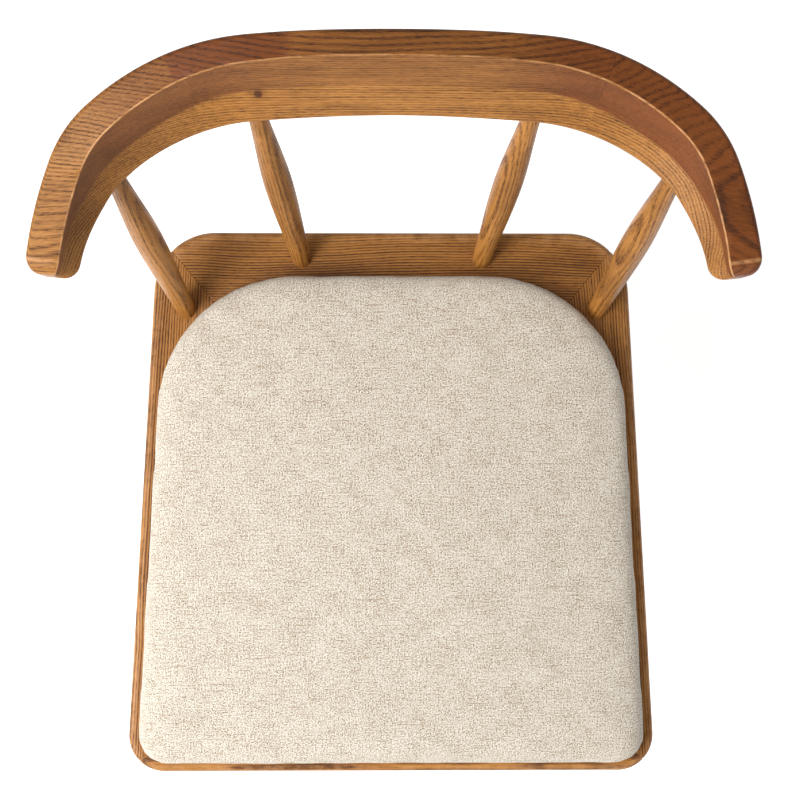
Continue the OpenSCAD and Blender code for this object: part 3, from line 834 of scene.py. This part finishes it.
def swell(obj):
    """Blows the padded form up as cloth, moving no point further than the cap."""
    group = obj.vertex_groups.new(name="held")
    held = [v.index for v in obj.data.vertices if v.co.z < HELD_BELOW]
    group.add(held, 1.0, "REPLACE")
    start = [v.co.copy() for v in obj.data.vertices]
    cloth = obj.modifiers.new("cloth", "CLOTH")
    settings = cloth.settings
    settings.vertex_group_mass = "held"
    settings.effector_weights.gravity = 0
    settings.use_pressure = True
    settings.uniform_pressure_force = 4.0
    settings.quality = 5
    settings.mass = 0.3
    settings.tension_stiffness = 15
    settings.compression_stiffness = 15
    settings.bending_stiffness = 0.5
    scene = bpy.context.scene
    for step in range(1, CLOTH_FRAMES + 1):
        scene.frame_set(step)
    depsgraph = bpy.context.evaluated_depsgraph_get()
    blown = obj.evaluated_get(depsgraph).data
    moved = [v.co.copy() for v in blown.vertices]
    obj.modifiers.clear()
    for v, p, q in zip(obj.data.vertices, start, moved):
        d = q - p
        v.co = p + d * (CLOTH_CAP / d.length if d.length > CLOTH_CAP else 1.0)
    scene.frame_set(1)
    obj.vertex_groups.clear()


def roughen(mesh):
    """Makes the cushion a little uneven, and lays the weave's coordinates over it."""
    normals = [v.normal.copy() for v in mesh.vertices]
    weave = []
    top = PAD_EDGE_Z + PAD_EDGE_RISE
    for v, normal in zip(mesh.vertices, normals):
        p = v.co
        rise = smooth((p.z - SEAT_TOP) / UNEVEN_RISE)
        lump = noise.noise(p * 17) * 0.7 + noise.noise(p * 41) * 0.25
        edge = 1 - smooth((normal.z - 0.3) / 0.6)
        ripple = noise.noise(Vector((p.x * 38, p.y * 38, 0.0))) * 0.55 * edge
        v.co = p + normal * (lump * 0.7 + ripple) * MM * rise
        drop = max(0.0, top - p.z)
        weave.append((p.x + normal.x * drop, p.y + normal.y * drop, 0.0))
    set_attribute(mesh, "weave", weave)


def cushion():
    rings = pad_rings()
    obj = lofted("seat_cushion", [p for ring in rings for p in ring], len(rings[0]))
    remesh = obj.modifiers.new("remesh", "REMESH")
    remesh.mode = "VOXEL"
    remesh.voxel_size = VOXEL
    apply_modifiers(obj)
    smoothing = obj.modifiers.new("smooth", "SMOOTH")
    smoothing.factor = 0.5
    smoothing.iterations = 4
    apply_modifiers(obj)
    swell(obj)
    subdivision = obj.modifiers.new("subdivision", "SUBSURF")
    subdivision.levels = subdivision.render_levels = 1
    apply_modifiers(obj)
    roughen(obj.data)
    obj.data.shade_smooth()
    return obj


# ---- Building ----

# Each rail's first and last corner, its place in the wood, and its pith across and up
FRAME_PLANKS = {"front": (0, 1, 0.31, (0.030, 0.32)), "left": (1, 2, 1.17, (-0.10, 0.36)),
                "back": (2, 3, 2.43, (-0.12, 0.35)), "right": (3, 0, 3.71, (0.16, 0.35))}
for side, (a, b, offset, pith) in FRAME_PLANKS.items():
    rail = seat_rail(side + "_rail", a, b, offset)
    pith = (pith[0] + offset * SIDEWAYS, pith[1])
    piece(rail, side + "_seat_rail",
          wood("frame_wood_" + side, pith, 2.3 * MM, contrast=1.1))


def turned_pith(across, up, offset):
    """The pith of a turned piece, in the coordinates that its offset has moved."""
    return across + offset * TURNED_ACROSS, up + offset * TURNED_UP


SIDES = {"left": LEFT, "right": RIGHT}
LEG_OFFSETS = {"front_left": 0.9, "front_right": 1.9, "rear_left": 2.8, "rear_right": 3.6}
for place, offset in LEG_OFFSETS.items():
    end, side = place.split("_")
    turned_leg = leg(place + "_turned_leg", SIDES[side], LEG_SPOTS[end], offset)
    piece(turned_leg, place + "_leg",
          wood(f"leg_wood_{place}", turned_pith(0.034, 0.012, offset), 2.6 * MM, contrast=0.9))

SPINDLE_OFFSETS = {"inner_left": 0.4, "inner_right": 1.3, "outer_left": 2.2, "outer_right": 3.3}
for place, offset in SPINDLE_OFFSETS.items():
    spot, side = place.split("_")
    turned_spindle = spindle(place + "_turned_spindle", SIDES[side], SPINDLE_SPOTS[spot], offset)
    pith = turned_pith(0.022 * SIDES[side], -0.016, offset)
    piece(turned_spindle, place + "_spindle",
          wood(f"spindle_wood_{place}", pith, 2.6 * MM, contrast=0.42, roughness=0.42))

centre_span = RAIL_JOINT - JOINT_GAP - JOINT_V
centre = rail_length("rail_centre", [(centre_span * i / 60, 1.0) for i in range(-60, 61)],
                     plank_grain(0, 0, Vector((0.4, 0, 0))), bevelled=True)
piece(centre, "top_rail_centre",
      wood("rail_wood_centre", (0.10, 0.45), 2.6 * MM, toned=True, contrast=0.6, sway=0.008,
           knot=(-0.504, 0.70)))
left_arm = rail_length("rail_arm_left", arm_stations(LEFT),
                       plank_grain(14, 8, Vector((1.1, 0.24, 0.66))), bevelled=False)
piece(left_arm, "top_rail_left_arm",
      wood("rail_wood_left_arm", (-0.20, -0.20), 1.9 * MM, toned=True, contrast=0.55, sway=0.016))
right_arm = rail_length("rail_arm_right", arm_stations(RIGHT),
                        plank_grain(-4, 0, Vector((2.3, 0, 0))), bevelled=False)
piece(right_arm, "top_rail_right_arm",
      wood("rail_wood_right_arm", (0.30, 0.53), 1.9 * MM, toned=True, contrast=0.6, sway=0.016))

pad = cushion()
piece(pad, "seat_cover", linen(), extra=("seat_foam",))

block_material = wood("block_wood", (0.0, 0.31), 3.1 * MM, source="Object",
                      light=(0.62, 0.44, 0.25), mid=(0.50, 0.33, 0.17), dark=(0.33, 0.20, 0.10))
CARRIED = {"mitre_splines": block_material, "rail_joint_dowels": block_material,
           "seat_board": plywood(), "block_screws": steel(), "leg_glides": felt(),
           "dust_cover": dust_cloth()}
for corner in ("front_left", "front_right", "rear_left", "rear_right"):
    CARRIED[corner + "_corner_block"] = block_material
CARRIED["cover_staples"] = CARRIED["seat_screws"] = CARRIED["block_screws"]
for name, material in CARRIED.items():
    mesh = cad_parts[name].data
    mesh.materials.clear()
    mesh.materials.append(material)

# ---- Floor, light and camera ----

FLOOR_SIZE, FLOOR_GLOW = 14, 0.70
WORLD_COLOUR, WORLD_STRENGTH = (1.0, 0.99, 0.98, 1.0), 0.29
# Place, aim, size, watts and colour of each light
LIGHTS = {"key": ((-1.45, -0.85, 1.75), (0, 0, 0.5), 1.1, 35, (1.0, 0.985, 0.96)),
          "softbox": ((-1.2, -0.3, 2.2), (-0.1, 0, 0.6), 1.3, 22, (1.0, 0.985, 0.96)),
          "fill": ((0.9, -1.5, 1.6), (0, 0, 0.5), 1.0, 5, (1.0, 0.99, 0.97))}
EYE, TARGET = Vector((-0.0140, -0.0225, 1.850)), Vector((0.0077, 0.0424, 0.430))
LENS, SENSOR = 68.94, 36

bpy.ops.mesh.primitive_plane_add(size=FLOOR_SIZE)
floor = bpy.context.object
floor.name = "floor"
s = Shader("white_floor")
tint = s.ramp(s.noise(s.coords("Object"), (3, 3, 3)), [(0.3, 0.90), (0.7, 0.92)])
floor.data.materials.append(s.finish(Base_Color=tint, Roughness=0.8, Emission_Strength=FLOOR_GLOW,
                                     Emission_Color=(1.0, 1.0, 1.0, 1.0)))

world = bpy.data.worlds.new("studio")
bpy.context.scene.world = world
world.use_nodes = True
background = world.node_tree.nodes["Background"]
background.inputs["Color"].default_value = WORLD_COLOUR
background.inputs["Strength"].default_value = WORLD_STRENGTH


def area_light(name, place, aim, size, power, colour):
    light = bpy.data.lights.new(name, "AREA")
    light.shape = "SQUARE"
    light.size = size
    light.energy = power
    light.color = colour
    lamp = bpy.data.objects.new(name, light)
    lamp.location = place
    lamp.rotation_euler = (Vector(aim) - Vector(place)).to_track_quat("-Z", "Y").to_euler()
    lamp.visible_camera = False
    bpy.context.scene.collection.objects.link(lamp)


for name, settings in LIGHTS.items():
    area_light(name, *settings)

camera_data = bpy.data.cameras.new("camera")
camera_data.lens = LENS
camera_data.sensor_width = SENSOR
camera = bpy.data.objects.new("camera", camera_data)
bpy.context.scene.collection.objects.link(camera)
look = (TARGET - EYE).normalized()
right = look.cross(Vector((0, 1, 0))).normalized()
up = right.cross(look)
pose = Matrix((right, up, -look)).transposed().to_4x4()
pose.translation = EYE
camera.matrix_world = pose
bpy.context.scene.camera = camera
bpy.context.scene.view_settings.view_transform = "Standard"

bpy.context.view_layer.update()
